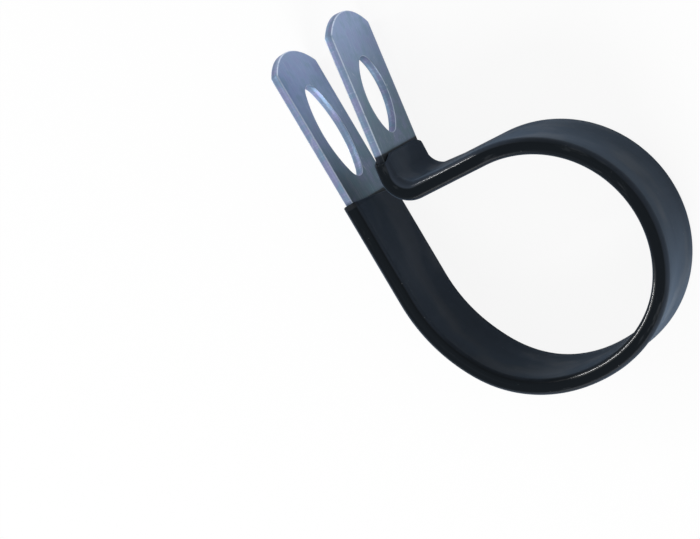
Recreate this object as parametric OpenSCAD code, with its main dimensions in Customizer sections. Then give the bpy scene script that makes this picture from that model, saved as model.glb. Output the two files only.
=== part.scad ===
// Cushioned loop clamp: a punched steel strip bent into a P, with a soft
// vinyl sleeve over the loop. It lies on the edge of the sleeve, so the
// axis of the loop stands upright on Z. The origin is on that axis, halfway
// across the strip. The long mounting tab leaves the loop towards -X.

/* [Steel strip] */
// Width of the strip
strip_w = 12.7; // [10.5:0.1:20]
// Thickness of the strip
strip_t = 1.1; // [0.8:0.05:1.6]
// Radius on the long edges of the strip
strip_edge_r = 0.2; // [0.1:0.05:0.3]

/* [Loop] */
// Inner diameter of the circle that grips the cable, inside the sleeve
loop_d = 28.5; // [24:0.1:60]
// Angle of that circle, which runs up to the neck
grip_turn = 169.8; // [165:0.2:176]
// Angle of the wider curve before it
ease_turn = 64.8; // [60:0.2:71]
// How much wider than the circle that curve is
ease_step = 1.5; // [0.4:0.1:2.4]
// Angle of the widest curve, between the long tab and the one above
lead_turn = 32.4; // [28:0.2:39]
// How much wider again that curve is
lead_step = 5.2; // [1:0.1:7]

/* [Neck and bend] */
// Straight length from the loop to the bend
neck_run = 9.6; // [8.4:0.1:11.2]
// Inner radius of the bend in the steel
bend_r = 2.3; // [1.6:0.1:3.4]
// Angle of the bend
bend_turn = 95.5; // [90:0.1:98]

/* [Tabs] */
// Straight length of the long tab, from the loop to the corners of its end
long_tab = 33; // [31:0.1:50]
// Straight length of the short tab, from the bend to the corners of its end
short_tab = 19; // [18.4:0.1:34]
// How far the curved end of a tab rises past its corners
tab_end_rise = 2.4; // [1:0.1:4]

/* [Screw slots] */
// Width of both slots
slot_w = 7; // [5.4:0.1:8.6]
// Radius of the small curves at the ends of the slots
slot_end_r = 2.2; // [1.2:0.1:2.6]
// Length of the slot in the long tab
long_slot = 13.4; // [11:0.1:17]
// Distance from its centre to the corners of the long tab's end
long_slot_in = 9.4; // [8.4:0.1:12]
// Length of the slot in the short tab
short_slot = 10.4; // [9:0.1:13]
// Distance from its centre to the corners of the short tab's end
short_slot_in = 9; // [7:0.1:10.4]

/* [Vinyl sleeve] */
// Wall of the sleeve over the faces of the strip
sleeve_wall = 0.45; // [0.4:0.05:1.2]
// Thinner wall over the long edges of the strip, where the sleeve is stretched
sleeve_edge_wall = 0.25; // [0.2:0.05:0.6]
// Clearance between the sleeve and the strip
sleeve_gap = 0.1; // [0.05:0.01:0.2]
// Radius on the long edges of the sleeve
sleeve_edge_r = 0.8; // [0.4:0.05:0.9]
// How much wider the sleeve's inside curve is than the bend it covers
sleeve_gather = 0.9; // [0.1:0.1:1.6]
// Bare steel between the corners of the long tab's end and the sleeve
long_bare = 19.2; // [18:0.1:26]
// Bare steel between the corners of the short tab's end and the sleeve
short_bare = 16.3; // [15.4:0.1:17.4]
// How far out of square the sleeve's end on the long tab is cut
cut_skew = 5; // [0.5:0.5:8]

/* [Hidden] */
$fn = 128;

// The cushioned strip is this thick and this wide
sleeve_t = strip_t + 2 * (sleeve_gap + sleeve_wall);
sleeve_w = strip_w + 2 * (sleeve_gap + sleeve_edge_wall);

// Radii of the strip's middle plane on each curve
grip_mid_r = loop_d / 2 + sleeve_t / 2;
ease_mid_r = grip_mid_r + ease_step;
lead_mid_r = ease_mid_r + lead_step;
bend_mid_r = bend_r + strip_t / 2;
gather_mid_r = bend_mid_r + sleeve_gather;

// Where the long tab meets the loop, with the circle centred on the origin
grip_start = lead_turn + ease_turn;
root_x = -lead_step * sin(lead_turn) - ease_step * sin(grip_start);
root_y = lead_step * cos(lead_turn) + ease_step * cos(grip_start) - lead_mid_r;

// How much of each tab the sleeve covers, and how much further the slanting
// end reaches on one edge
long_cover = long_tab - long_bare;
short_cover = short_tab - short_bare;
skew_run = sleeve_w / 2 * tan(cut_skew);

// Radius of a tab's end, from its rise over the width of the strip
tab_end_r = (pow(strip_w / 2, 2) + pow(tab_end_rise, 2)) / (2 * tab_end_rise);

// A wider bend starts this far before the bend it follows
gather_lead = sleeve_gather * tan(bend_turn / 2);

// How far cuts run past what they cut
over = 1;

// How far a tucked run reaches into its neighbours, and how much slimmer it is
seam_reach = 0.05;
seam_step = 0.005;
$slim = 0;

// A path is a list of runs. A run is [turn, radius], turning left where
// turn is positive and right where it is negative, or [0, length].
loop_path = [
    [lead_turn, lead_mid_r],
    [ease_turn, ease_mid_r],
    [grip_turn, grip_mid_r],
    [0, neck_run],
    [-bend_turn, bend_mid_r]
];

// Moves its children from the start of a run to its end
module past(run) {
    if (run[0] == 0)
        translate([run[1], 0, 0]) children();
    else if (run[0] > 0)
        translate([0, run[1], 0]) rotate([0, 0, run[0]])
            translate([0, -run[1], 0]) children();
    else
        translate([0, -run[1], 0]) rotate([0, 0, run[0]])
            translate([0, run[1], 0]) children();
}

// Moves its children past the first count runs of a path
module after(path, count, i = 0) {
    if (i < count)
        past(path[i]) after(path, count, i + 1) children();
    else
        children();
}

// Carries a section along one run, starting reach before it and ending reach
// past it. The section's X is to the left of the path, and its Y is up.
module along(run, reach = 0) {
    extra = run[0] == 0 ? 0 : reach / run[1] * 180 / PI;
    if (run[0] == 0)
        translate([-reach, 0, 0]) rotate([90, 0, 90])
            linear_extrude(run[1] + 2 * reach) children();
    else if (run[0] > 0)
        translate([0, run[1], 0]) rotate([0, 0, -90 - extra])
            rotate_extrude(angle = run[0] + 2 * extra)
                translate([run[1], 0]) children();
    else
        translate([0, -run[1], 0]) rotate([0, 0, 90 + run[0] - extra])
            rotate_extrude(angle = -run[0] + 2 * extra)
                translate([run[1], 0]) children();
}

// Carries a section along a whole path. Every other run, counting from
// tucked, is a hair slimmer and reaches a little way into its neighbours, so
// that the runs fuse into one piece.
module sweep(path, tucked) {
    for (i = [0 : len(path) - 1]) {
        tuck = i % 2 == tucked;
        let ($slim = tuck ? seam_step : 0)
            after(path, i) along(path[i], tuck ? seam_reach : 0) children();
    }
}

// Rectangle with round corners, centred. All sections are symmetrical.
module round_rect(x, y, r) {
    square([x - 2 * r, y], center = true);
    square([x, y - 2 * r], center = true);
    for (sx = [-1, 1], sy = [-1, 1])
        translate([sx * (x / 2 - r), sy * (y / 2 - r)]) circle(r);
}

module strip_section() {
    round_rect(strip_t - 2 * $slim, strip_w - 2 * $slim, strip_edge_r);
}

// Oval of four arcs, each meeting the next without a corner
module oval(long, wide, end_r) {
    a = long / 2;
    b = wide / 2;
    side_r = (a * a + b * b - 2 * a * end_r) / (2 * (b - end_r));
    meet_x = (a - end_r) * side_r / (side_r - end_r);
    intersection() {
        translate([0, b - side_r]) circle(side_r);
        translate([0, side_r - b]) circle(side_r);
        square([2 * meet_x, wide], center = true);
    }
    for (s = [-1, 1])
        translate([s * (a - end_r), 0]) circle(end_r);
}

// Straight tab from its root out along +X, with its slot and curved end
module tab(run, slot, slot_in) {
    difference() {
        intersection() {
            along([0, run + tab_end_rise]) strip_section();
            union() {
                translate([0, -strip_t, -strip_w])
                    cube([run, 2 * strip_t, 2 * strip_w]);
                translate([run + tab_end_rise - tab_end_r, 0, 0])
                    rotate([90, 0, 0])
                        cylinder(r = tab_end_r, h = 2 * strip_t, center = true);
            }
        }
        translate([run - slot_in, 0, 0]) rotate([90, 0, 0])
            linear_extrude(strip_t + 2 * over, center = true)
                oval(slot, slot_w, slot_end_r);
    }
}

// Puts its children where the long tab meets the loop
module at_root() {
    translate([root_x, root_y, 0]) children();
}

module steel_band() {
    color([0.56, 0.58, 0.66])
    at_root() {
        rotate([0, 0, 180]) tab(long_tab, long_slot, long_slot_in);
        sweep(loop_path, 0) strip_section();
        after(loop_path, len(loop_path))
            tab(short_tab, short_slot, short_slot_in);
    }
}

// The sleeve's outer form, not yet hollow
module sleeve_form() {
    covered = concat([[0, long_cover + skew_run]], loop_path, [[0, short_cover]]);
    translate([-long_cover - skew_run, 0, 0]) sweep(covered, 1) sleeve_section();
    // the vinyl bunches up on the inside of the bend
    let ($slim = 2 * seam_step)
        after(loop_path, 4) translate([-gather_lead, 0, 0])
            along([-bend_turn, gather_mid_r]) sleeve_section();
}

// What the slanting cut takes off the sleeve's end on the long tab
module skew_cut() {
    long = 2 * skew_run + over;
    translate([-long_cover, 0, 0]) rotate([0, -cut_skew, 0])
        translate([-long, -sleeve_t, -sleeve_w])
            cube([long, 2 * sleeve_t, 2 * sleeve_w]);
}

module sleeve_section() {
    round_rect(sleeve_t - 2 * $slim, sleeve_w - 2 * $slim, sleeve_edge_r);
}

module bore_section() {
    room = 2 * sleeve_gap - 2 * $slim;
    round_rect(strip_t + room, strip_w + room, strip_edge_r);
}

// The room the strip needs inside the sleeve, running out past both ends
module sleeve_bore() {
    start = long_cover + skew_run + over;
    bore = concat([[0, start]], loop_path, [[0, short_cover + over]]);
    translate([-start, 0, 0]) sweep(bore, 1) bore_section();
}

module vinyl_sleeve() {
    color([0.07, 0.07, 0.08])
    at_root()
        difference() {
            sleeve_form();
            sleeve_bore();
            skew_cut();
        }
}

steel_band();
vinyl_sleeve();
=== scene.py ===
# %% [markdown]
# # A cushioned P clip
# This clip holds a cable or a hose against a panel. It has two parts: a flat
# steel strip with a slotted tab at each end, bent into the shape of a P, and a
# soft vinyl sleeve that is slid over the strip before it is bent. The CAD model
# gives the frame, so every size below is the part's own, and nothing is fitted.

# %% Load the frame
import math

import bmesh
import bpy
import numpy as np
from mathutils import Matrix, Vector


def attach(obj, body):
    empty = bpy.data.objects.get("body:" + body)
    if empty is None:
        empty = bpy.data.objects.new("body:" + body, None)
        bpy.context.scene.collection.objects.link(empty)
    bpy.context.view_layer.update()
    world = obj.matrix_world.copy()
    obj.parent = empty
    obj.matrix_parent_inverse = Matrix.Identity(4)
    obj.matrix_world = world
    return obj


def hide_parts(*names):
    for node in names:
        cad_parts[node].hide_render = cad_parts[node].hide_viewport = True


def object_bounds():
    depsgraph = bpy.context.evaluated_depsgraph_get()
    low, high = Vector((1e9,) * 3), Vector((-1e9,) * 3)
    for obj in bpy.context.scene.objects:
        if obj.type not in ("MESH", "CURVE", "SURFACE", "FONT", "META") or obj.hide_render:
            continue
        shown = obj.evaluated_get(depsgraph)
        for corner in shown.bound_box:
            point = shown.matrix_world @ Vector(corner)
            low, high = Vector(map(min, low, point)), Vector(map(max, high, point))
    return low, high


MM = 0.001

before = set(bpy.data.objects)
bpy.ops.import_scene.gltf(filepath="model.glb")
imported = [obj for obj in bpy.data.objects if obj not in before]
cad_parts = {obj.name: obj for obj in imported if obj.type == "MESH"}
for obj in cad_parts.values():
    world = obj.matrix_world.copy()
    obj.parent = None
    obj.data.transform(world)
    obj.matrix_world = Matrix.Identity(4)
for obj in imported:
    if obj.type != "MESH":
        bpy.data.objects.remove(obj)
CAD_BOX = [list(corner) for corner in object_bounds()]


def in_mm(lengths):
    """Lengths in metres as rounded millimetres, for printing."""
    return [round(float(length) / MM, 2) for length in lengths]


print("CAD nodes", sorted(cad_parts))
print("CAD box in mm", [in_mm(corner) for corner in CAD_BOX])

# %% [markdown]
# ## The line that the strip follows
# Each part of the real clip is as long as it was when the strip was flat. So the
# shape is kept as a list of runs along the middle of the strip: a curve has an
# angle and a radius, and a straight run has a length. A curve with control points
# could look much the same, but then no radius would be a size that a bending tool
# has. Any point of the clip is named by three flat sizes: how far along the strip
# it is, how far up across the width, and how far through the thickness.

# %% Sizes of the clip
STRIP_W, STRIP_T = 12.7 * MM, 1.1 * MM
SLEEVE_WALL, SLEEVE_EDGE_WALL = 0.45 * MM, 0.25 * MM
SLEEVE_GAP = 0.1 * MM
SLEEVE_T = STRIP_T + 2 * (SLEEVE_GAP + SLEEVE_WALL)
SLEEVE_W = STRIP_W + 2 * (SLEEVE_GAP + SLEEVE_EDGE_WALL)

LOOP_INSIDE_R, BEND_INSIDE_R = 14.25 * MM, 2.3 * MM
EASE_STEP, LEAD_STEP = 1.5 * MM, 5.2 * MM
GRIP_R = LOOP_INSIDE_R + SLEEVE_T / 2
EASE_R = GRIP_R + EASE_STEP
LEAD_R = EASE_R + LEAD_STEP
BEND_R = BEND_INSIDE_R + STRIP_T / 2

LEAD_TURN, EASE_TURN, GRIP_TURN, BEND_TURN = 32.4, 64.8, 169.8, -95.5
NECK, LONG_TAB, SHORT_TAB = 9.6 * MM, 33.0 * MM, 19.0 * MM
RUNS = [
    (LEAD_TURN, LEAD_R),
    (EASE_TURN, EASE_R),
    (GRIP_TURN, GRIP_R),
    (0.0, NECK),
    (BEND_TURN, BEND_R),
]
print("radii along the strip in mm", in_mm([LEAD_R, EASE_R, GRIP_R, BEND_R]))

# %% [markdown]
# Every run starts where the last one ended, and in the same direction, so the
# strip has no kink. Following the runs once gives the place, the heading and the
# curvature at each start. A curve object could hold the same line, but a point on
# it would have to be searched for, and here it is one short sum away.

# %% Follow the runs
TAB_RUN = 1.0  # metres, longer than any tab: a tab ends where its outline does
TINY = 1e-9


def sine_and_cosine(degrees):
    angle = math.radians(degrees)
    return math.sin(angle), math.cos(angle)


def starts_of(runs):
    """Where each run starts: distance, x, y, heading and curvature. The origin is
    the centre of the gripping curve."""
    lead_sin, lead_cos = sine_and_cosine(LEAD_TURN)
    grip_sin, grip_cos = sine_and_cosine(LEAD_TURN + EASE_TURN)
    x = -(LEAD_R - EASE_R) * lead_sin - (EASE_R - GRIP_R) * grip_sin
    y = (LEAD_R - EASE_R) * lead_cos + (EASE_R - GRIP_R) * grip_cos - LEAD_R
    rows = [(-TAB_RUN, x - TAB_RUN, y, 0.0, 0.0)]
    distance, heading = 0.0, 0.0
    for turn, size in [*runs, (0.0, TAB_RUN)]:
        bend = math.copysign(1 / size, turn) if turn else 0.0
        length = abs(math.radians(turn)) * size if turn else size
        rows.append((distance, x, y, heading, bend))
        if turn:
            after = heading + math.radians(turn)
            x += (math.sin(after) - math.sin(heading)) / bend
            y -= (math.cos(after) - math.cos(heading)) / bend
            heading = after
        else:
            x += length * math.cos(heading)
            y += length * math.sin(heading)
        distance += length
    return np.array(rows)


STARTS = starts_of(RUNS)
_, lead_start, _, _, neck_start, bend_start, tab_start = STARTS
NECK_START, BEND_START, LOOP_LENGTH = neck_start[0], bend_start[0], tab_start[0]
print("strip length in mm", in_mm([LONG_TAB + LOOP_LENGTH + SHORT_TAB]))
print("long tab meets the loop at, in mm", in_mm(lead_start[1:3]))

# %% [markdown]
# A wide strip can't be rolled into a perfect cylinder. Its outer side stretches
# and grows narrower, its inner side grows wider, and so the middle of the width
# sinks a little towards the centre of the loop. Opposite the neck the loop also
# leans: its upper edge stands nearer to the axis, and its lower edge kicks out
# where the roller let go of it. This could be sculpted on each mesh. As one rule
# for every flat place it moves steel and vinyl together, and they never touch.

# %% How far the strip leaves the true curve
SADDLE, SADDLE_FROM, SADDLE_RISE = 0.2 * MM, 4 * MM, 22 * MM
SADDLE_PAST_NECK, SADDLE_FALL = 3 * MM, 14 * MM
LEAN, LEAN_AT, LEAN_REACH = 0.4 * MM, 29.0 * MM, 15.0 * MM
KICK, KICK_AT, KICK_REACH = 0.25 * MM, 20.0 * MM, 11.0 * MM


def smooth_step(value):
    value = np.clip(value, 0.0, 1.0)
    return value * value * (3 - 2 * value)


def towards_axis(along, up):
    """How far the rolled strip lies inside the true curve."""
    started = smooth_step((along - SADDLE_FROM) / SADDLE_RISE)
    ending = smooth_step((NECK_START + SADDLE_PAST_NECK - along) / SADDLE_FALL)
    saddle = SADDLE * started * ending * (1 - (2 * up / SLEEVE_W) ** 2)
    lean = LEAN * smooth_step(1 - np.abs(along - LEAN_AT) / LEAN_REACH)
    kick = KICK * smooth_step(1 - np.abs(along - KICK_AT) / KICK_REACH)
    return saddle + lean * (0.5 + up / SLEEVE_W) - kick * (0.5 - up / SLEEVE_W)


edges_at_lean = [towards_axis(LEAN_AT, side * SLEEVE_W / 2) for side in (-1, 0, 1)]
print("lower edge, middle and upper edge lie inside by mm", in_mm(edges_at_lean))

# %% [markdown]
# Wrapping takes flat points to their place on the clip. A Curve modifier could do
# it, but a Bezier curve is never quite an arc, and the finishes further on need
# the flat place of each point as well.

# %% Wrap flat points round the line
def wrap(flat):
    """Bends flat points (along, up, through) round the clip's line."""
    flat = np.array(flat, float).reshape(-1, 3)
    flat[:, 2] += towards_axis(flat[:, 0], flat[:, 1])
    row = STARTS[np.searchsorted(STARTS[:, 0], flat[:, 0], side="right") - 1]
    run, heading, bend = flat[:, 0] - row[:, 0], row[:, 3], row[:, 4]
    after = heading + bend * run
    curved = np.abs(bend) > TINY
    safe = np.where(curved, bend, 1.0)
    dx = np.where(curved, (np.sin(after) - np.sin(heading)) / safe, run * np.cos(heading))
    dy = np.where(curved, (np.cos(heading) - np.cos(after)) / safe, run * np.sin(heading))
    x = row[:, 1] + dx - flat[:, 2] * np.sin(after)
    y = row[:, 2] + dy + flat[:, 2] * np.cos(after)
    return np.stack([x, y, flat[:, 1]], 1)


print("halfway round the loop, in mm", in_mm(wrap([NECK_START / 2, 0.0, 0.0])[0]))

# %% [markdown]
# Samples along the line are close where it bends tightly, and far apart where it
# runs straight. Even samples would need the closest spacing everywhere. This way
# the curves look round and the straight runs cost nothing.

# %% Samples along the line
def stations(start, end, angle=1.6, straight=4.0 * MM):
    """Distances from start to end: every angle degrees of a curve, and every
    straight metres of a straight run."""
    found = []
    edges = [*STARTS[1:, 0], start, end]
    edges = sorted(v for v in edges if start <= v <= end)
    for a, b in zip(edges, edges[1:]):
        if b - a < TINY:
            continue
        bend = abs(STARTS[np.searchsorted(STARTS[:, 0], (a + b) / 2) - 1][4])
        turned = math.degrees(bend * (b - a))
        count = math.ceil(turned / angle) if bend else math.ceil((b - a) / straight)
        found += [a + (b - a) * i / count for i in range(count)]
    return [*found, end]


print("samples round the loop", len(stations(0, LOOP_LENGTH)))

# %% [markdown]
# ## The steel strip
# A press cuts the strip as a flat blank with two oval slots and curved ends, and
# only then is it bent. It is made the same way here: the outline and the slots
# are drawn flat, the rims are rounded while it is flat, and the finished blank is
# wrapped round the line. A boolean cut in a bent strip would leave ragged
# shading round the slots, so nothing is cut afterwards.

# %% Outlines of the blank
TAB_RISE = 2.4 * MM
TAB_END_R = ((STRIP_W / 2) ** 2 + TAB_RISE**2) / (2 * TAB_RISE)
CORNER_CUT = 0.12 * MM
SLOT_W, SLOT_END_R = 7.0 * MM, 2.2 * MM
LONG_SLOT, SHORT_SLOT = 13.4 * MM, 10.4 * MM


def tab_end(inset, count=24):
    """Points of a tab's curved end, from its lower corner to its upper one, as
    (distance past the corners, up). Each corner is cut: two points, a hair apart."""
    radius, half = TAB_END_R - inset, STRIP_W / 2 - inset
    centre = TAB_RISE - TAB_END_R
    corner_angle = math.asin(half / radius)
    corner = centre + radius * math.cos(corner_angle) - CORNER_CUT
    reach = corner_angle - CORNER_CUT / radius
    arc = np.linspace(-reach, reach, count)
    points = [(centre + radius * math.cos(a), radius * math.sin(a)) for a in arc]
    return [(corner, -half), *points, (corner, half)]


def slot_outline(long, wide, end_r, inset, count=14):
    """Points round an oval of four arcs, each meeting the next without a corner.
    An inset goes into the steel, so it makes the oval wider."""
    a, b, r = long / 2, wide / 2, end_r
    side_r = (a * a + b * b - 2 * a * r) / (2 * (b - r))
    lean = math.acos((side_r - b) / (side_r - r))
    arcs = [
        (math.pi / 2 - lean, r, a - r, 0.0),
        (lean, side_r, 0.0, b - side_r),
        (math.pi / 2 - lean, r, r - a, 0.0),
        (lean, side_r, 0.0, side_r - b),
    ]
    points = []
    for quarter, (half, radius, cx, cy) in enumerate(arcs):
        middle, radius = quarter * math.pi / 2, radius + inset
        for i in range(2 * count):
            t = middle + half * (i / count - 1)
            points.append((cx + radius * math.cos(t), cy + radius * math.sin(t)))
    return points


print("radius of a tab's end in mm", in_mm([TAB_END_R]))
print("points round a slot", len(slot_outline(LONG_SLOT, SLOT_W, SLOT_END_R, 0.0)))

# %% [markdown]
# The slots take one screw between them, so both are centred across the strip,
# each at its own distance from the corners of its tab. The outline of the blank
# goes down one side, round the short tab's end, back up the other side and round
# the long tab's end. One outline for the whole strip could come from joined
# shapes, but as one list its points pair up across the strip, which the wide
# faces need.

# %% Outline of the whole strip, and its slots
STRIP_END = LOOP_LENGTH + SHORT_TAB
LONG_SLOT_IN, SHORT_SLOT_IN = 9.4 * MM, 9.0 * MM
SLOTS = [
    (-LONG_TAB + LONG_SLOT_IN, LONG_SLOT),
    (STRIP_END - SHORT_SLOT_IN, SHORT_SLOT),
]
CORNER_CLEAR = 1.0 * MM
SIDE_STATIONS = stations(-LONG_TAB + CORNER_CLEAR, STRIP_END - CORNER_CLEAR)


def blank_outline(inset):
    """Points round the whole flat strip, the lower side first."""
    half = STRIP_W / 2 - inset
    ends = tab_end(inset)
    lower = [(s, -half) for s in SIDE_STATIONS]
    short_end = [(STRIP_END + past, up) for past, up in ends]
    upper = [(s, half) for s in reversed(SIDE_STATIONS)]
    long_end = [(-LONG_TAB - past, up) for past, up in reversed(ends)]
    return lower + short_end + upper + long_end


print("points round the blank", len(blank_outline(0)))

# %% [markdown]
# No rim of a real strip is sharp: its long edges are rolled round, and a punch
# draws the steel in a little round a slot. A Bevel modifier could round them, but
# it needs weights for two widths, and leaves thin triangles round a slot. So a
# rim is drawn as a short list of steps, each with an inset from the outline and a
# height through the thickness. Every step is one closed ring of points, and
# neighbouring rings are joined with quads. The last step at each face is a narrow
# band that lies flat, which keeps the shading of the wide face flat beside the
# round rim. Each point also remembers how much it is rubbed and painted with a
# highlight, for the finish.

# %% Rings and rims
ROLLED_R, PUNCHED_R = 0.17 * MM, 0.09 * MM
FLAT_BAND = 0.05 * MM


def rim_steps(thickness, radius, count=4):
    """Steps from one face, over the rim, to the other face. Each is an inset, a
    height, and how much the rim is rubbed and painted with a highlight there:
    most halfway round."""
    half = thickness / 2
    steps = [(radius + FLAT_BAND, half, 0.0)]
    for a in np.linspace(0, math.pi / 2, count + 1):
        inset, drop = radius * (1 - math.sin(a)), radius * (1 - math.cos(a))
        steps.append((inset, half - drop, math.sin(2 * a)))
    return steps + [(inset, -height, rub_and_highlight) for inset, height, rub_and_highlight in reversed(steps)]


def join_rings(bm, rings):
    """Quads between each closed ring of vertices and the next."""
    for first, second in zip(rings, rings[1:]):
        for i in range(len(first)):
            j = (i + 1) % len(first)
            bm.faces.new((first[i], first[j], second[j], second[i]))


def rim_rings(bm, outline_at, radius):
    """The rings of one rim, joined, with the rubbing and painted highlight kept on each
    point.
    """
    rubbed_and_highlit = bm.verts.layers.float.get("rub_and_highlight") or bm.verts.layers.float.new("rub_and_highlight")
    rings = []
    for inset, height, rub_and_highlight in rim_steps(STRIP_T, radius):
        ring = [bm.verts.new((s, up, height)) for s, up in outline_at(inset)]
        for vert in ring:
            vert[rubbed_and_highlit] = rub_and_highlight
        rings.append(ring)
    join_rings(bm, rings)
    return rings


print("steps over a rim", len(rim_steps(STRIP_T, ROLLED_R)))

# %% [markdown]
# The wide faces are what is left to fill. Round the loop they have to bend, so
# there they get a grid of quads that follows the samples. The two tabs stay flat,
# so the steel round a slot can be plain triangles. Triangles everywhere would be
# one call, but they would crease the loop.

# %% Fill the wide faces
ACROSS = 6


def edge_chain(bm, points):
    """The edges along a chain of points, made where they are missing."""
    return [bm.edges.get(pair) or bm.edges.new(pair) for pair in zip(points, points[1:])]


def fill_face(bm, outer, holes, first, last):
    """One wide face: a grid from the first to the last sample of the loop, and a
    triangulated tab at each end."""
    n, total = len(SIDE_STATIONS), len(outer)
    end_points = len(tab_end(0))
    upper = [2 * n + end_points - 1 - i for i in range(n)]
    rows = []
    for i in range(first, last + 1):
        low, high = outer[i], outer[upper[i]]
        between = [bm.verts.new(low.co.lerp(high.co, k / ACROSS)) for k in range(1, ACROSS)]
        rows.append([low, *between, high])
    for one, two in zip(rows, rows[1:]):
        for k in range(ACROSS):
            bm.faces.new((one[k], two[k], two[k + 1], one[k + 1]))
    long_tab = [outer[k % total] for k in range(upper[first], total + first + 1)]
    short_tab = [outer[k] for k in range(last, upper[last] + 1)]
    chains = [[*long_tab, *rows[0][1:]], [*short_tab, *reversed(rows[-1][:-1])]]
    for chain, hole in zip(chains, holes):
        border = edge_chain(bm, chain) + edge_chain(bm, [*hole, hole[0]])
        bmesh.ops.triangle_fill(bm, edges=border, use_beauty=True, normal=(0, 0, 1))


print("quads across the loop", ACROSS)

# %% [markdown]
# Now the blank is cut: the rim round the outline, a rim round each slot, and the
# two wide faces. Their grid starts and ends a little clear of the slots.

# %% Cut the blank
SLOT_CLEAR = 1.5 * MM


def cut_blank():
    """The flat strip as a bmesh, with its rims rounded and its slots punched."""
    bm = bmesh.new()
    outer = rim_rings(bm, blank_outline, ROLLED_R)
    holes = []
    for centre, long in SLOTS:
        def slot_at(inset):
            outline = slot_outline(long, SLOT_W, SLOT_END_R, inset)
            return [(centre + s, up) for s, up in outline]
        holes.append(rim_rings(bm, slot_at, PUNCHED_R))
    (long_centre, long_slot), (short_centre, short_slot) = SLOTS
    grid_from = long_centre + long_slot / 2 + SLOT_CLEAR
    grid_to = short_centre - short_slot / 2 - SLOT_CLEAR
    grid = [i for i, s in enumerate(SIDE_STATIONS) if grid_from < s < grid_to]
    for side in (0, -1):
        fill_face(bm, outer[side], [hole[side] for hole in holes], grid[0], grid[-1])
    return bm


blank = cut_blank()
print("flat blank:", len(blank.verts), "points and", len(blank.faces), "faces")

# %% [markdown]
# Bending moves every point of the blank to its place on the clip. The flat place
# stays on the mesh as an attribute. UV coordinates could carry two of its three
# numbers, but the slots' walls need the third.

# %% Bend the blank into the clip
def bend_into_piece(bm, name, smooth_angle):
    """Wraps a flat bmesh round the line and makes it an object. The flat place of
    each point is kept on the mesh, so that a finish can follow the strip."""
    bm.verts.index_update()
    flat = np.array([v.co[:] for v in bm.verts])
    for vert, place in zip(bm.verts, wrap(flat)):
        vert.co = place
    bmesh.ops.recalc_face_normals(bm, faces=bm.faces[:])
    if bm.calc_volume(signed=True) < 0:
        bmesh.ops.reverse_faces(bm, faces=bm.faces[:])
    mesh = bpy.data.meshes.new(name)
    bm.to_mesh(mesh)
    bm.free()
    kept = mesh.attributes.new("flat", "FLOAT_VECTOR", "POINT")
    kept.data.foreach_set("vector", flat.astype(np.float32).ravel())
    mesh.shade_smooth()
    mesh.set_sharp_from_angle(angle=math.radians(smooth_angle))
    piece = bpy.data.objects.new(name, mesh)
    bpy.context.scene.collection.objects.link(piece)
    return piece


band = bend_into_piece(blank, "bent_strip", smooth_angle=35)
print("steel strip:", len(band.data.polygons), "faces")

# %% [markdown]
# ## The vinyl sleeve
# The sleeve is a soft flat tube that is pushed over the strip, so it takes the
# strip's shape, with rounder corners. It is drawn as one closed skin: rings of
# the outer section run along the strip, roll over a small lip at each end, and
# run back inside. Sweeping a profile along a curve object would be shorter, but
# this way the bunched inside of the bend and the ragged ends can be shaped. Each
# ring is a section: flat faces that are a little dished, and shoulders that fall
# away to the long edges, where the tube is stretched thin.

# %% Sections of the sleeve
SKIN_SHY = 0.01 * MM
SHOULDER = 0.62 * MM
OUTER_SLOPE, INNER_SLOPE, BORE_CORNER = 0.9 * MM, 0.75 * MM, 0.3 * MM
FACE_DISH = 0.04 * MM


def sleeve_section(depth, corner_points=9, face_points=8):
    """(through, up) points round the sleeve: depth 0 is the outer skin, and 1 is
    the bore. The outer skin's shoulders slope away from the long edges, most on
    the outer face, where the vinyl is stretched."""
    hx = SLEEVE_T / 2 - SKIN_SHY - depth * SLEEVE_WALL
    hy = SLEEVE_W / 2 - SKIN_SHY - depth * SLEEVE_EDGE_WALL
    points = []
    for quarter in range(4):
        sx = 1 if quarter in (0, 3) else -1
        sy = 1 if quarter in (0, 1) else -1
        slope = INNER_SLOPE if sx > 0 else OUTER_SLOPE
        rx = SHOULDER + depth * (BORE_CORNER - SHOULDER)
        ry = slope + depth * (BORE_CORNER - slope)
        for a in np.linspace(0, math.pi / 2, corner_points) + quarter * math.pi / 2:
            through = sx * (hx - rx) + rx * math.cos(a)
            points.append((through, sy * (hy - ry) + ry * math.sin(a)))
        if quarter in (1, 3):
            # the corners at both ends of a face share one slope
            flat = hy - ry
            for i in range(1, face_points):
                up = sy * flat * (1 - 2 * i / face_points)
                dish = FACE_DISH * (1 - (up / flat) ** 2) ** 2
                points.append((sx * (hx - dish), up))
    return points


print("points round the sleeve", len(sleeve_section(0)))

# %% [markdown]
# The tube is cut with a blade, so its ends are not quite square. At the long tab
# the cut is some degrees out. At the short tab the corners are drawn back, where
# the vinyl pulls tight round the strip's edges. A boolean could cut both ends.
# Shifting the last rings instead leaves the lip round and the quads whole.

# %% Length and ends of the sleeve
LONG_COVER, SHORT_COVER = 13.8 * MM, 2.7 * MM
SLEEVE_START, SLEEVE_END = -LONG_COVER, LOOP_LENGTH + SHORT_COVER
LONG_END_SKEW = math.tan(math.radians(5.0))
SHORT_END_RELIEF, RELIEF_FROM = 0.9 * MM, 0.72
SETTLE = 2.5 * MM


def end_shift(s, up):
    """How far a point near an end of the sleeve lies beyond or behind it."""
    from_start = max(0.0, 1 - (s - SLEEVE_START) / SETTLE)
    from_end = max(0.0, 1 - (SLEEVE_END - s) / SETTLE)
    near_edge = (abs(up) / (SLEEVE_W / 2) - RELIEF_FROM) / (1 - RELIEF_FROM)
    drawn_back = SHORT_END_RELIEF * smooth_step(near_edge)
    return -from_start * LONG_END_SKEW * up - from_end * drawn_back


print("sleeve length in mm", in_mm([SLEEVE_END - SLEEVE_START]))
print("its long end is skewed by mm", in_mm([end_shift(SLEEVE_START, -SLEEVE_W / 2)]))

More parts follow.
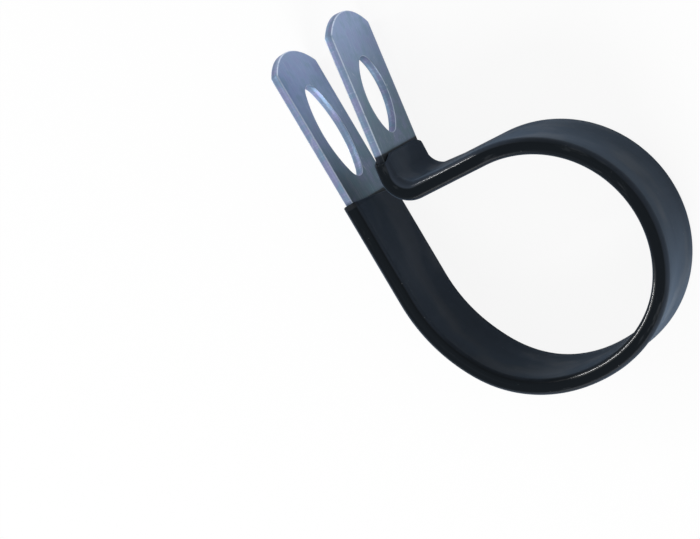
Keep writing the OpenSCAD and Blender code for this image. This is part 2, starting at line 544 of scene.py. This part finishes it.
# %% [markdown]
# Inside the tight bend there is more vinyl than room, so it bunches up and stands
# off the steel. Cloth simulation would fold it at random. The real one gathers in
# a single smooth swelling, which is an arc of a wider radius that meets the
# sleeve's own faces on both sides.

# %% Bunched vinyl inside the bend
GATHER = 0.9 * MM
HALF_BEND = math.radians(abs(BEND_TURN)) / 2
INNER_R = BEND_R - SLEEVE_T / 2
WIDER_R = INNER_R + GATHER
CENTRE_STEP = GATHER / math.cos(HALF_BEND)
GATHER_LEAD = GATHER * math.tan(HALF_BEND)


def bunching(s):
    """How far the sleeve's inner side stands off the bend at distance s."""
    angle = (s - BEND_START) / BEND_R - HALF_BEND
    if abs(angle) <= HALF_BEND:
        reach = math.sqrt(WIDER_R**2 - (CENTRE_STEP * math.sin(angle)) ** 2)
        return INNER_R - (reach - CENTRE_STEP * math.cos(angle))
    beyond = (abs(angle) - HALF_BEND) * BEND_R
    left = max(0.0, GATHER_LEAD - beyond)
    return WIDER_R - math.sqrt(WIDER_R**2 - left**2)


middle_of_bend = BEND_START + HALF_BEND * BEND_R
print("vinyl stands off the bend by mm", in_mm([bunching(middle_of_bend)]))

# %% [markdown]
# The skin is now built ring by ring: out along the outside, over the lip at the
# short tab, back through the bore, and over the lip at the long tab to the first
# ring. A Solidify modifier would give the wall one thickness, and this tube is
# thinner at its edges.

# %% Build the sleeve
LIP = SLEEVE_WALL / 2
LIP_STEPS = 8


def sleeve_ring(bm, s, depth, past=0.0):
    """One closed ring of the sleeve's skin at a sample s, at a depth through its
    wall, which may lie past the sample where the lip rolls over."""
    stand_off = bunching(s) if depth == 0.0 else 0.0
    ring = []
    for through, up in sleeve_section(depth):
        facing = max(0.0, -through / (SLEEVE_T / 2))
        place = (s + past + end_shift(s, up), up, through - stand_off * facing)
        ring.append(bm.verts.new(place))
    return ring


def build_sleeve():
    """The sleeve's closed skin as a flat bmesh."""
    bm = bmesh.new()
    samples = stations(SLEEVE_START + LIP, SLEEVE_END - LIP)
    lip_angles = [math.pi * i / LIP_STEPS for i in range(1, LIP_STEPS)]
    rings = [sleeve_ring(bm, s, 0.0) for s in samples]
    for a in lip_angles:
        rings.append(sleeve_ring(bm, samples[-1], (1 - math.cos(a)) / 2, LIP * math.sin(a)))
    rings += [sleeve_ring(bm, s, 1.0) for s in reversed(samples)]
    for a in reversed(lip_angles):
        rings.append(sleeve_ring(bm, samples[0], (1 - math.cos(a)) / 2, -LIP * math.sin(a)))
    join_rings(bm, [*rings, rings[0]])
    return bm


sleeve = bend_into_piece(build_sleeve(), "cushion_sleeve", smooth_angle=60)
print("sleeve:", len(sleeve.data.polygons), "faces")

# %% [markdown]
# ## A short way to write shader maths
# A finish in Blender is a web of nodes, and most of them do plain sums. Written
# node by node, a sum of three terms takes a dozen lines. So one small class
# wraps a node's output and lets Python's own signs add the Math nodes: then
# 1 - mask * 0.5 reads as it would on paper.

# %% Shader maths in Python
class Shade:
    """An output of a node. A sum on it adds Math nodes to its finish."""

    def __init__(self, finish, output):
        self.finish, self.output = finish, output

    def sum(self, operation, first, second):
        return self.finish.node("Math", {"operation": operation}, {0: first, 1: second})

    def __add__(self, other):
        return self.sum("ADD", self, other)

    def __sub__(self, other):
        return self.sum("SUBTRACT", self, other)

    def __rsub__(self, other):
        return self.sum("SUBTRACT", other, self)

    def __mul__(self, other):
        return self.sum("MULTIPLY", self, other)

    def __abs__(self):
        return self.sum("ABSOLUTE", self, 0.0)

    __radd__ = __add__
    __rmul__ = __mul__


print("signs that add Math nodes:", "+ - * abs")

# %% [markdown]
# A second class stands for one finish, and adds every node by a single method,
# which takes the kind of node, its settings and its sockets. The settings come
# first, because some of them change which sockets a node has.

# %% A finish, node by node
class Finish:
    """One material, built up node by node."""

    def __init__(self, name):
        self.material = bpy.data.materials.new(name)
        self.material.use_nodes = True
        self.tree = self.material.node_tree
        self.tree.nodes.clear()

    def node(self, kind, settings=None, sockets=None, out=0):
        """Adds a node. Its settings come first, then values or links of sockets."""
        made = self.tree.nodes.new("ShaderNode" + kind)
        for name, value in (settings or {}).items():
            setattr(made, name, value)
        for name, value in (sockets or {}).items():
            if isinstance(value, Shade):
                self.tree.links.new(value.output, made.inputs[name])
            else:
                made.inputs[name].default_value = value
        return Shade(self, made.outputs[out]) if made.outputs else None


print("a finish starts empty, and each call of node() adds to it")

# %% [markdown]
# A few small recipes serve both finishes. A mask that rises smoothly between two
# values shows where something is, and a stretch is a mask that falls again.
# Noise gives a mask its ragged edge. A blend goes from one colour to another, and
# has to be a Mix node, because a Math node would turn the colour grey. A colour
# ramp could do the work of a mask and a blend at once, but its stops would hide
# what each number stands for.

# %% Masks, noise and blends
COLOR_A, COLOR_B, COLOR_RESULT = 6, 7, 2  # the colour sockets of a Mix node


def smooth(value, low, high):
    """0 below low, 1 above high, and a smooth rise between. It falls instead
    where low is above high."""
    limits = {"From Min": low, "From Max": high}
    settings = {"interpolation_type": "SMOOTHSTEP"}
    return value.finish.node("MapRange", settings, {"Value": value, **limits})


def stretch(value, start, full, fading, end):
    """Rises to 1 from start to full, and falls to 0 from fading to end."""
    return smooth(value, start, full) * (1 - smooth(value, fading, end))


def noise(place, scale, detail=2.0, rough=0.5):
    sockets = {"Vector": place, "Scale": scale, "Detail": detail, "Roughness": rough}
    return place.finish.node("TexNoise", None, sockets)


def blend(amount, first, second):
    """A Mix node from the first colour to the second."""
    sockets = {"Factor": amount}
    for socket, color in ((COLOR_A, first), (COLOR_B, second)):
        sockets[socket] = color if isinstance(color, Shade) else (*color, 1.0)
    return amount.finish.node("Mix", {"data_type": "RGBA"}, sockets, out=COLOR_RESULT)


print("masks, noise and blends are ready")

# %% [markdown]
# The place on the flat strip, which each mesh carries, lets a pattern follow the
# strip round the loop, as rolling marks do. Object coordinates would cut through
# the loop like the grain of a block. Stretching the place along one direction
# draws a pattern out into lines. Relief that is finer than the mesh is a bump.

# %% Places on the strip, and relief
def stretched(place, along, up, through):
    """The place multiplied along each of its three directions."""
    sockets = {0: place, 1: (along, up, through)}
    return place.finish.node("VectorMath", {"operation": "MULTIPLY"}, sockets)


def flat_place(finish):
    """The place on the flat strip in mm: as a vector, and as three numbers."""
    metres = finish.node("Attribute", {"attribute_name": "flat"}, out="Vector")
    place = stretched(metres, 1 / MM, 1 / MM, 1 / MM)
    split = finish.node("SeparateXYZ", None, {0: place})
    return place, [Shade(finish, socket) for socket in split.output.node.outputs]


def bump(finish, height, depth, strength, under=None):
    """A Bump node: height from 0 to 1, for a relief depth metres deep, which may
    lie on another one."""
    sockets = {"Height": height, "Distance": depth, "Strength": strength}
    if under is not None:
        sockets["Normal"] = under
    return finish.node("Bump", None, sockets, out="Normal")


print("places are measured in mm along, up and through the flat strip")

# %% [markdown]
# ## The zinc finish
# The strip is cold-rolled steel with a thin zinc plating and a clear blue
# passivation, which gives the metal its lilac and slate cast. One metal colour
# with noise in its roughness would pass from far off. Built from what made each
# mark, every mark lies in the right direction. First come the broad colours: the
# plating is clouded, painted shade darkens it close to the sleeve, and it turns
# lighter and more lilac towards the tips, partly its own cast and partly painted
# light. It has patches of faint tint, and the rolls left fine pale and dark lines
# along the strip.

# %% Zinc: clouds, painted shade and light, and rolling lines
zinc = Finish("zinc_plate")
place, (along, _, through) = flat_place(zinc)

# The colour near the sleeve is painted shade. The lilac of the tips is the plating's own
# cast, made lighter as painted light.
ZINC_PAINTED_SHADE = (0.16, 0.24, 0.31)
ZINC_SLATE = (0.21, 0.30, 0.42)
ZINC_LIT_LILAC = (0.30, 0.40, 0.61)
ZINC_VIOLET = (0.30, 0.30, 0.56)
ZINC_GREEN = (0.15, 0.30, 0.36)
PALE_LINE, DARK_LINE = (0.42, 0.49, 0.68), (0.15, 0.20, 0.30)
TINT_STRENGTH, PALE_STRENGTH, DARK_STRENGTH = 0.30, 0.14, 0.16

past_long_end = SLEEVE_START / MM - along
past_short_end = along - SLEEVE_END / MM
bare = zinc.node("Math", {"operation": "MAXIMUM"}, {0: past_long_end, 1: past_short_end})
clouds = noise(place, 0.16, 3.0)
tints = noise(place, 0.55)
rolled = noise(stretched(place, 0.05, 6.0, 6.0), 1.0, 4.0, 0.6)

# Masks for painted shade close to the sleeve, and for painted light towards the tips
clear_of_painted_shade = smooth(bare + clouds * 6.0, 2.0, 17.0)
lighter_tip_of_tab = smooth(bare + clouds * 9.0, 10.0, 22.0)
violet = smooth(tints, 0.5, 0.7) * TINT_STRENGTH
green = smooth(tints, 0.5, 0.3) * TINT_STRENGTH
pale_lines = smooth(rolled, 0.45, 0.75) * PALE_STRENGTH
dark_lines = smooth(rolled, 0.55, 0.2) * DARK_STRENGTH
# Painted shade near the sleeve fades to slate, then painted light turns the tips a lighter
# lilac
plate = blend(clear_of_painted_shade, ZINC_PAINTED_SHADE, ZINC_SLATE)
plate = blend(lighter_tip_of_tab, plate, ZINC_LIT_LILAC)
plate = blend(violet, plate, ZINC_VIOLET)
plate = blend(green, plate, ZINC_GREEN)
plate = blend(pale_lines, plate, PALE_LINE)
plate = blend(dark_lines, plate, DARK_LINE)
print("zinc colours", ZINC_PAINTED_SHADE, ZINC_SLATE, ZINC_LIT_LILAC)

# %% [markdown]
# The punch shears one part of a slot's wall smooth and tears the rest, and it
# leaves streaks through the thickness. The walls are slate and violet in patches.
# The rims are painted bright: partly wear, where handling rubs the plating, and
# partly a painted highlight along them. The angle of the surface could tell where
# a rim is, but the mesh already keeps that as a number on each point, and noise
# then leaves the rim bright in some places only.

# %% Zinc: sheared walls, and rims rubbed and painted with a highlight
WALL_SLATE, WALL_VIOLET = (0.24, 0.35, 0.50), (0.32, 0.33, 0.54)
# The bright rim colour is a painted highlight, laid over real rubbing
STREAK, TORN_STEEL, RUBBED_AND_HIGHLIT_ZINC = (0.50, 0.54, 0.70), (0.22, 0.25, 0.34), (0.70, 0.79, 0.94)
FACE_MM = STRIP_T / 2 / MM

on_wall = 1 - smooth(abs(through), FACE_MM - 0.16, FACE_MM - 0.08)
torn = smooth(through + noise(place, 3.0) * 0.3, 0.3, 0.1) * on_wall
streaks = noise(stretched(place, 5.0, 5.0, 0.4), 1.0, 3.0)
rub_and_highlight = zinc.node("Attribute", {"attribute_name": "rub_and_highlight"}, out="Fac")
# Where the rims get a painted highlight and are rubbed, in some places only
rubbed_and_highlit = rub_and_highlight * smooth(noise(place, 1.1, 3.0), 0.22, 0.45)

wall = blend(smooth(tints, 0.42, 0.58), WALL_SLATE, WALL_VIOLET)
plate = blend(on_wall * 0.7, plate, wall)
plate = blend(smooth(streaks, 0.5, 0.75) * on_wall * 0.35, plate, STREAK)
plate = blend(torn * 0.3, plate, TORN_STEEL)
print("rims and slot walls have their own marks")

# %% [markdown]
# Clips lie loose in a box and scratch each other. The scratches are long, thin
# and straight, at an angle to the rolling lines. Noise can't draw a straight
# line, but the borders between cells can, once the cells are drawn out.

# %% Zinc: hairlines
HAIRLINE, HAIRLINE_STRETCH = (0.55, 0.60, 0.72), (0.11, 1.7, 0.5)


def hairlines(turn, shift):
    """Long thin lines at an angle to the strip, in patches."""
    turned = {"Rotation": (0.0, 0.0, math.radians(turn)), "Scale": HAIRLINE_STRETCH}
    laid = zinc.node("Mapping", {"vector_type": "POINT"}, {"Vector": place, **turned})
    laid = zinc.node("VectorMath", {"operation": "ADD"}, {0: laid, 1: (shift, shift, 0.0)})
    cells = {"Vector": laid, "Scale": 1.0}
    borders = zinc.node("TexVoronoi", {"feature": "DISTANCE_TO_EDGE"}, cells)
    patches = smooth(noise(laid, 0.9, 1.0), 0.5, 0.62)
    return (1 - smooth(borders, 0.004, 0.022)) * patches


scratch = hairlines(24, 3.0) + hairlines(-38, 8.0) * 0.7
plate = blend(scratch * 0.35, plate, HAIRLINE)
# Painted highlight along the rims, with real rubbing
plate = blend(rubbed_and_highlit * 0.85, plate, RUBBED_AND_HIGHLIT_ZINC)
print("zinc finish has", len(zinc.tree.nodes), "nodes so far")

# %% [markdown]
# Last come the joint with the sleeve, darkened with grime and painted shade, with
# a dark line of painted shade under the lip, and the gloss. Zinc crystals,
# rolling lines, torn steel and grime each change it a little. One roughness
# everywhere would make the metal look like paint.

# %% Zinc: grime and painted shade, gloss and relief
# Grime with painted shade at the joint, and a line of painted shade under the lip
GRIME_AND_SHADE, PAINTED_SHADE_UNDER_LIP = (0.06, 0.07, 0.08), (0.015, 0.018, 0.02)
ZINC_RELIEF = 0.012 * MM

# Darker within about a millimetre of the sleeve: grime and painted shade
grime_and_shade = (1 - smooth(bare + clouds * 0.8, 0.2, 1.1)) * 0.6
# A dark line of painted shade on the steel under the sleeve's lip
painted_shade_under_lip = (1 - smooth(bare + clouds * 0.15, 0.18, 0.42)) * 0.85
plate = blend(grime_and_shade, plate, GRIME_AND_SHADE)
plate = blend(painted_shade_under_lip, plate, PAINTED_SHADE_UNDER_LIP)

crystals = {"Vector": place, "Scale": 2.4}
spangle = zinc.node("TexVoronoi", {"feature": "F1"}, crystals, out="Color")
spangle = zinc.node("SeparateColor", None, {0: spangle})
matt = 0.38 + rolled * 0.08 + spangle * 0.05 + torn * 0.15 + on_wall * 0.12
matt = matt - rubbed_and_highlit * 0.12 + grime_and_shade * 0.2
relief = rolled * 0.35 + scratch * -0.5 + streaks * on_wall * 0.8 + spangle * 0.05
zinc.node("OutputMaterial", None, {"Surface": zinc.node("BsdfPrincipled", None, {
    "Base Color": plate,
    "Metallic": 1.0,
    "Roughness": matt,
    "Normal": bump(zinc, relief, ZINC_RELIEF, 0.6),
})})
band.data.materials.append(zinc.material)
print("zinc finish has", len(zinc.tree.nodes), "nodes")

# %% [markdown]
# ## The vinyl finish
# The sleeve is soft black vinyl, pushed out of a die as a flat tube. The black
# itself is very dark. What shows on its wide faces is a blue-grey haze: partly
# bloom that comes out of the vinyl, and partly painted sheen. It lies in soft
# clouds and is lighter near the ends. On the outside of the loop it is lighter
# as a painted reflection, and on the inside of the loop it is darker as painted
# shade.
# A lighter grey all over would be simpler, but then the rims would be grey too,
# and the real ones are black.

# %% Vinyl: bloom, painted sheen and die lines
vinyl = Finish("satin_vinyl")
place, (along, up, through) = flat_place(vinyl)
outwards = 0 - through

# The haze colour is partly bloom and partly painted sheen
VINYL_BLACK = (0.0045, 0.0062, 0.0080)
VINYL_BLOOM_AND_SHEEN = (0.0260, 0.0340, 0.0480)
DIE_LINE = (0.014, 0.018, 0.023)
# Spans in mm along the strip: lighter outside as a painted reflection, darker inside as
# painted shade
PAINTED_REFLECTION_OUTSIDE, PAINTED_SHADE_INSIDE = (24, 34, 44, 56), (12, 22, 34, 46)

clouds = smooth(noise(stretched(place, 0.11, 0.18, 0.18), 1.0), 0.38, 0.62)
die_lines = noise(stretched(place, 0.035, 2.6, 2.6), 1.0, 3.0, 0.6)
faces = smooth(outwards, 0.5, 0.8) + smooth(through, 0.75, 1.0)
near_long_end = 1 - smooth(along - SLEEVE_START / MM, 6, 28)
near_ends = near_long_end + smooth(along - SLEEVE_END / MM, -26, -8)
# Lighter on the outside of the loop: a painted reflection
painted_reflection_outside = stretch(along, *PAINTED_REFLECTION_OUTSIDE) * smooth(outwards, 0, 0.1)
# Darker on the inside of the loop: painted shade
painted_shade_inside = stretch(along, *PAINTED_SHADE_INSIDE) * smooth(through, 0, 0.1)
# Bloom with painted sheen on the faces, a painted reflection outside the loop, painted shade
# inside it
bloom_and_sheen = 0.28 + 0.42 * clouds + 0.65 * near_ends + 0.35 * painted_reflection_outside - 0.3 * painted_shade_inside
skin = blend(faces * bloom_and_sheen, VINYL_BLACK, VINYL_BLOOM_AND_SHEEN)
skin = blend(smooth(die_lines, 0.5, 0.8) * 0.4, skin, DIE_LINE)
print("vinyl colours", VINYL_BLACK, VINYL_BLOOM_AND_SHEEN)

# %% [markdown]
# Handling leaves pale rubs that are drawn out along the tube, and dust settles in
# specks. Where the tube was cut, its end is duller. All three could be one dirt
# map, but they differ in size, in colour and in how they change the gloss.

# %% Vinyl: rubs, dust and cut ends
VINYL_RUB, DUST, CUT_VINYL = (0.045, 0.050, 0.056), (0.16, 0.17, 0.18), (0.022, 0.024, 0.028)

grain = noise(place, 5.0, 3.0, 0.6)
rub_marks = noise(stretched(place, 0.25, 1.3, 1.3), 1.0, 4.0, 0.65)
rubs = smooth(rub_marks, 0.56, 0.72) * smooth(noise(place, 0.22), 0.45, 0.6)
cells = vinyl.node("TexVoronoi", {"feature": "F1"}, {"Vector": place, "Scale": 0.9})
dust = (1 - smooth(cells, 0.03, 0.07)) * smooth(noise(place, 0.5, 1.0), 0.48, 0.56)
ends = {0: along - SLEEVE_START / MM, 1: SLEEVE_END / MM - along}
from_end = vinyl.node("Math", {"operation": "MINIMUM"}, ends)
cut = 1 - smooth(from_end + grain * 0.2, 0.15, 0.35)
skin = blend(rubs * 0.35, skin, VINYL_RUB)
skin = blend(dust * 0.5, skin, DUST)
skin = blend(cut * 0.5, skin, CUT_VINYL)
print("rubs, dust and cut ends have their own masks")

# %% [markdown]
# The rims that fingers run along are polished: the inner rim of the loop, and the
# outer rim of the neck. They mirror a lamp as a thin line of light. A lower
# roughness there would do, but a clear coat leaves the black under it alone, and
# its weight may follow a mask.

# %% Vinyl: polished rims
EDGE_MM = SLEEVE_W / 2 / MM
LOOP_POLISH, NECK_POLISH = (25, 28, 43, 49), (77, 79, 84, 88)

near_edge = smooth(abs(up), EDGE_MM - 1.4, EDGE_MM - 0.6)
rim = near_edge * stretch(abs(through), 0.5, 0.6, 0.8, 0.9)
on_loop = stretch(along, *LOOP_POLISH) * smooth(through, 0, 0.1)
on_neck = stretch(along, *NECK_POLISH) * smooth(outwards, 0, 0.1)
polished_rim = rim * (on_loop + on_neck)
print("polished round the loop, in mm", LOOP_POLISH, "and at the neck", NECK_POLISH)

# %% [markdown]
# The gloss is low, and lower on the bloomed faces, where it varies with the
# clouds. A bloomed skin also throws light back at a low angle, which the
# principled shader calls sheen. Relief comes in two sizes: soft waves, where the
# tube doesn't lie quite flat on the steel, and on them the fine die lines and
# grain. Waves in the mesh would need many more points for the same highlight.

# %% Vinyl: gloss and relief
WAVE_DEPTH, VINYL_RELIEF = 0.5 * MM, 0.02 * MM

matt = 0.2 + die_lines * 0.06 + rubs * 0.15 + cut * 0.25 + faces * (0.28 + 0.25 * clouds)
relief = die_lines * 0.6 + grain * 0.25 + rubs * -0.1 + dust * 0.3
waves = noise(stretched(place, 0.1, 0.16, 0.16), 1.0, 1.0)
wavy = bump(vinyl, waves, WAVE_DEPTH, 0.5)
vinyl.node("OutputMaterial", None, {"Surface": vinyl.node("BsdfPrincipled", None, {
    "Base Color": skin,
    "Roughness": matt,
    "Specular IOR Level": 0.08,
    "Coat Weight": polished_rim,
    "Coat Roughness": 0.08,
    "Coat IOR": 1.9,
    "Sheen Weight": 0.2,
    "Sheen Roughness": 0.45,
    "Sheen Tint": (0.45, 0.68, 1.0, 1.0),
    "Normal": bump(vinyl, relief, VINYL_RELIEF, 0.5, wavy),
})})
sleeve.data.materials.append(vinyl.material)
print("vinyl finish has", len(vinyl.tree.nodes), "nodes")

# %% [markdown]
# ## Tie the pieces to the model
# Each piece rides on the clip's one body, by parenting, and the CAD node that it
# stands for is hidden.

# %% Ride and replace
for piece, node, finish_slot in (
    (band, "steel_band", "zinc_steel"),
    (sleeve, "vinyl_sleeve", "black_vinyl"),
):
    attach(piece, "root")
    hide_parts(node)
    print(piece.name, "stands for", node)

# %% [markdown]
# ## Floor and room
# The clip lies on a plain white table. A floor lit until it is white would also
# wash out the clip. So this one is mostly its own white for rays that come from
# the camera or from a mirror-like surface, and a plain matt white for the light
# that it throws back. It looks white without any extra light on the clip, and a
# trace of the clip's shadow stays.

# %% Floor
FLOOR_HALF = 3.0
SEEN_WHITE, MIRRORED_WHITE = 0.9, 0.3
TABLE_DARKER, TABLE_LIGHTER = (0.86, 0.86, 0.86), (0.9, 0.9, 0.9)

floor_z = CAD_BOX[0][2]
corners = [(-1, -1), (1, -1), (1, 1), (-1, 1)]
points = [(x * FLOOR_HALF, y * FLOOR_HALF, floor_z) for x, y in corners]
floor_mesh = bpy.data.meshes.new("table_top")
floor_mesh.from_pydata(points, [], [(0, 1, 2, 3)])
floor = bpy.data.objects.new("table_top", floor_mesh)
bpy.context.scene.collection.objects.link(floor)


def own_white_share(finish):
    """How much of the floor is its own white: most of it for the camera and for
    clear glass, less for a gloss, and nothing for the light it throws back."""
    rays = finish.node("LightPath").output.node.outputs
    kinds = ("Is Camera Ray", "Is Transmission Ray", "Is Glossy Ray")
    camera, clear, glossy = (Shade(finish, rays[kind]) for kind in kinds)
    return camera * SEEN_WHITE + clear * SEEN_WHITE + glossy * MIRRORED_WHITE


white = Finish("white_table")
mottle = noise(white.node("TexCoord", None, out="Object"), 6.0)
matt_white = white.node("BsdfPrincipled", None, {
    "Base Color": blend(mottle, TABLE_DARKER, TABLE_LIGHTER),
    "Roughness": 1.0,
    "Specular IOR Level": 0.0,
})
own_white = white.node("Emission", None, {"Color": (1.0, 1.0, 1.0, 1.0), "Strength": 1.0})
mixed = {0: own_white_share(white), 1: matt_white, 2: own_white}
white.node("OutputMaterial", None, {"Surface": white.node("MixShader", None, mixed)})
floor.data.materials.append(white.material)
print("floor at z in mm", in_mm([floor_z]))

# %% [markdown]
# The room is an even white dome, which gives steel and vinyl something pale to
# mirror. A wide soft lamp above the right side adds a little form. A long thin
# lamp to the left shows in the polished rims as a narrow line of light. A square
# lamp there would show as a spot. A weak lamp behind the tabs lights the ends of
# the steel.

# %% Room and lamps
ROOM_LIGHT = 0.42
room = bpy.data.worlds.new("white_room")
bpy.context.scene.world = room
room.use_nodes = True
background = room.node_tree.nodes["Background"]
background.inputs["Color"].default_value = (1.0, 1.0, 1.0, 1.0)
background.inputs["Strength"].default_value = ROOM_LIGHT


def lamp(name, towards, distance, size, power):
    """A square lamp that looks at the clip from a given direction."""
    light = bpy.data.lights.new(name, "AREA")
    light.size, light.energy = size, power
    lamp_object = bpy.data.objects.new(name, light)
    bpy.context.scene.collection.objects.link(lamp_object)
    direction = Vector(towards).normalized()
    lamp_object.location = direction * distance
    lamp_object.rotation_euler = (-direction).to_track_quat("-Z", "Y").to_euler()
    return lamp_object


def make_strip(lamp_object, towards, width, along):
    """Makes a lamp narrow, and turns its long side to lie along a direction."""
    lamp_object.data.shape, lamp_object.data.size_y = "RECTANGLE", width
    back = Vector(towards).normalized()
    long_side = Vector(along)
    long_side = (long_side - back * long_side.dot(back)).normalized()
    axes = Matrix([long_side, back.cross(long_side), back])
    lamp_object.rotation_euler = axes.transposed().to_euler()


LEFT, ABOVE_RIGHT, BEHIND_TABS = (-0.60, -0.595, 0.553), (0.9, -0.35, 0.75), (0.03, 0.9, 0.44)
rim_light = lamp("rim_light", LEFT, distance=0.6, size=0.7, power=1.45)
make_strip(rim_light, LEFT, width=0.03, along=(-0.54, 0.72, 0.44))
lamp("soft_side", ABOVE_RIGHT, distance=0.7, size=0.45, power=4.0)
lamp("tab_strip", BEHIND_TABS, distance=0.6, size=0.3, power=0.15)

# %% [markdown]
# ## Camera
# A long lens from about 27 cm away keeps the sides of the clip nearly parallel. A
# wide lens close up would show more of the inside of the loop, and the tabs would
# seem to spread. It looks down into the loop at 26 degrees from upright, turned
# so that the tabs point up and to the left.

# %% Camera
EYE = Vector((-19.555, 99.440, 252.385)) * MM
FORWARD = Vector((0.02954587, -0.44367925, -0.89569848))
UP = Vector((-0.85982483, 0.44568528, -0.24913025))
FOCAL_LENGTH, SENSOR_WIDTH = 110.57, 36.0
NEAREST_SEEN = 0.01
camera = bpy.data.objects.new("clip_camera", bpy.data.cameras.new("clip_camera"))
bpy.context.scene.collection.objects.link(camera)
turned = Matrix([FORWARD.cross(UP), UP, -FORWARD]).transposed().to_4x4()
camera.matrix_world = Matrix.Translation(EYE) @ turned
camera.data.lens, camera.data.sensor_width = FOCAL_LENGTH, SENSOR_WIDTH
camera.data.clip_start = NEAREST_SEEN
bpy.context.scene.camera = camera
bpy.context.scene.view_settings.view_transform = "Standard"
print("camera distance in mm", in_mm([EYE.length]))
